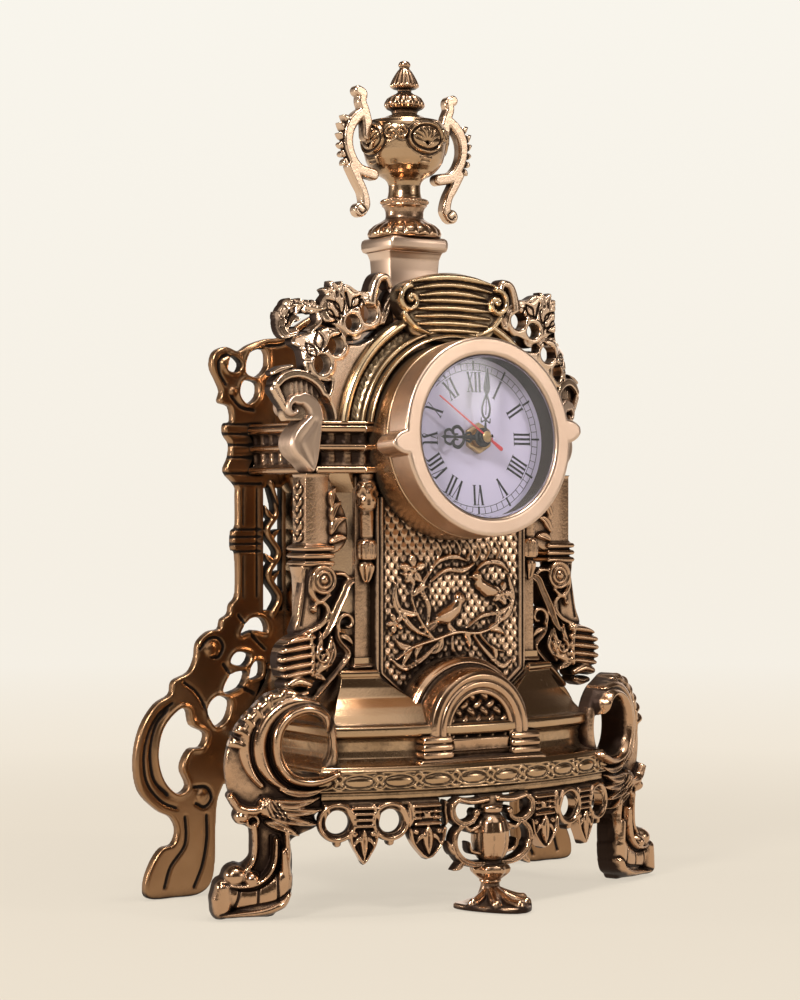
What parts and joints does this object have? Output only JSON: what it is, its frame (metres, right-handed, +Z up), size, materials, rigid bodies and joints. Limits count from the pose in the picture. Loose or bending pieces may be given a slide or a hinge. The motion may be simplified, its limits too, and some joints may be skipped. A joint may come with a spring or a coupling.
{
  "type": "ornate table clock",
  "caption": "Free-standing cast brass table clock: bow-fronted scroll-footed case, pierced back plate, round drum with domed glass, urn finial and a battery quartz movement.",
  "frame": {"origin": "on the table, at the middle of the clock's box", "axes": "+Z up, -Y out of the dial, +X to the right of someone who reads the dial"},
  "size_m": [0.249, 0.1278, 0.3815],
  "materials": {
    "cast_brass": "satin, darkened in its recesses",
    "back_brass": "satin, darker brown",
    "polished_brass": "brushed",
    "plain_brass": "machined",
    "steel": "bright",
    "dial_card": "printed card",
    "clear_glass": "clear",
    "black_sleeve": "matt black",
    "black_rubber": "matt",
    "black_hands": "matt black",
    "red_hand": "satin red",
    "black_plastic": "moulded",
    "white_plastic": "moulded",
    "magnet": "sintered",
    "copper_coil": "enamelled wire",
    "board": "circuit board",
    "battery_skin": "plain sleeve"
  },
  "bodies": {
    "clock": {"base_body": "cast_brass", "case_body": "cast_brass", "hood_arch": "cast_brass", "pediment": "cast_brass", "relief_panel": "cast_brass", "arch_surround": "cast_brass", "arch_grille": "cast_brass", "cornice_left": "cast_brass", "cornice_right": "cast_brass", "cresting_left": "cast_brass", "cresting_right": "cast_brass", "side_frame_left": "cast_brass", "side_frame_right": "cast_brass", "front_leg_left": "cast_brass", "front_leg_right": "cast_brass", "apron_left": "cast_brass", "apron_right": "cast_brass", "centre_foot": "cast_brass", "back_plate": "back_brass", "back_screws": "steel", "pedestal": "polished_brass", "abacus": "polished_brass", "urn_foot": "cast_brass", "urn_bowl": "cast_brass", "urn_lid": "cast_brass", "urn_finial": "cast_brass", "urn_handle_left": "polished_brass", "urn_handle_right": "polished_brass", "urn_rod": "steel", "urn_nut": "steel", "drum": "plain_brass", "bezel_ring": "polished_brass", "dial_glass": "clear_glass", "glass_retainer": "black_sleeve", "dial": "dial_card", "rubber_washer": "black_rubber", "nut_washer": "plain_brass", "hex_nut": "plain_brass", "bushing": "plain_brass", "movement_front": "black_plastic", "movement_back": "black_plastic", "stator": "steel", "coil": "copper_coil", "circuit_board": "board", "battery_contacts": "steel"},
    "minute_train": {"centre_wheel": "white_plastic", "minute_hand": "black_hands"},
    "hour_train": {"hour_wheel": "white_plastic", "hour_hand": "black_hands"},
    "motion_work": {"minute_wheel": "white_plastic", "set_knob": "white_plastic"},
    "third_train": {"third_wheel": "white_plastic"},
    "seconds_train": {"seconds_wheel": "white_plastic", "seconds_hand": "red_hand"},
    "step_train": {"step_wheel": "white_plastic"},
    "rotor_train": {"rotor": "magnet"},
    "battery_cell": {"battery": "battery_skin"}
  },
  "joints": [
    {"name": "minute_turn", "type": "hinge", "parent": "clock", "child": "minute_train", "pos_m": [0, -0.0278, 0.2057], "axis": [0, 0.9976, -0.0698], "continuous": true},
    {"name": "hour_turn", "type": "hinge", "parent": "clock", "child": "hour_train", "pos_m": [0, -0.0278, 0.2057], "axis": [0, 0.9976, -0.0698], "continuous": true},
    {"name": "motion_turn", "type": "hinge", "parent": "clock", "child": "motion_work", "pos_m": [0.00285, -0.02706, 0.2163], "axis": [0, 0.9976, -0.0698], "continuous": true},
    {"name": "third_turn", "type": "hinge", "parent": "clock", "child": "third_train", "pos_m": [-0.00935, -0.02742, 0.21109], "axis": [0, 0.9976, -0.0698], "continuous": true},
    {"name": "seconds_turn", "type": "hinge", "parent": "clock", "child": "seconds_train", "pos_m": [0, -0.0278, 0.2057], "axis": [0, 0.9976, -0.0698], "continuous": true},
    {"name": "step_turn", "type": "hinge", "parent": "clock", "child": "step_train", "pos_m": [0.01044, -0.02767, 0.20754], "axis": [0, 0.9976, -0.0698], "continuous": true},
    {"name": "rotor_turn", "type": "hinge", "parent": "clock", "child": "rotor_train", "pos_m": [0.01355, -0.02708, 0.21607], "axis": [0, 0.9976, -0.0698], "continuous": true},
    {"name": "battery_slide", "type": "slide", "parent": "clock", "child": "battery_cell", "axis": [0, 0.9976, -0.0698], "range_m": [0, 0.06]}
  ],
  "couplings": [
    {"joint": "hour_turn", "follows": "minute_turn", "ratio": 0.083333},
    {"joint": "motion_turn", "follows": "minute_turn", "ratio": -0.33333},
    {"joint": "third_turn", "follows": "minute_turn", "ratio": -8},
    {"joint": "seconds_turn", "follows": "minute_turn", "ratio": 60},
    {"joint": "step_turn", "follows": "minute_turn", "ratio": -300},
    {"joint": "rotor_turn", "follows": "minute_turn", "ratio": 1800}
  ]
}
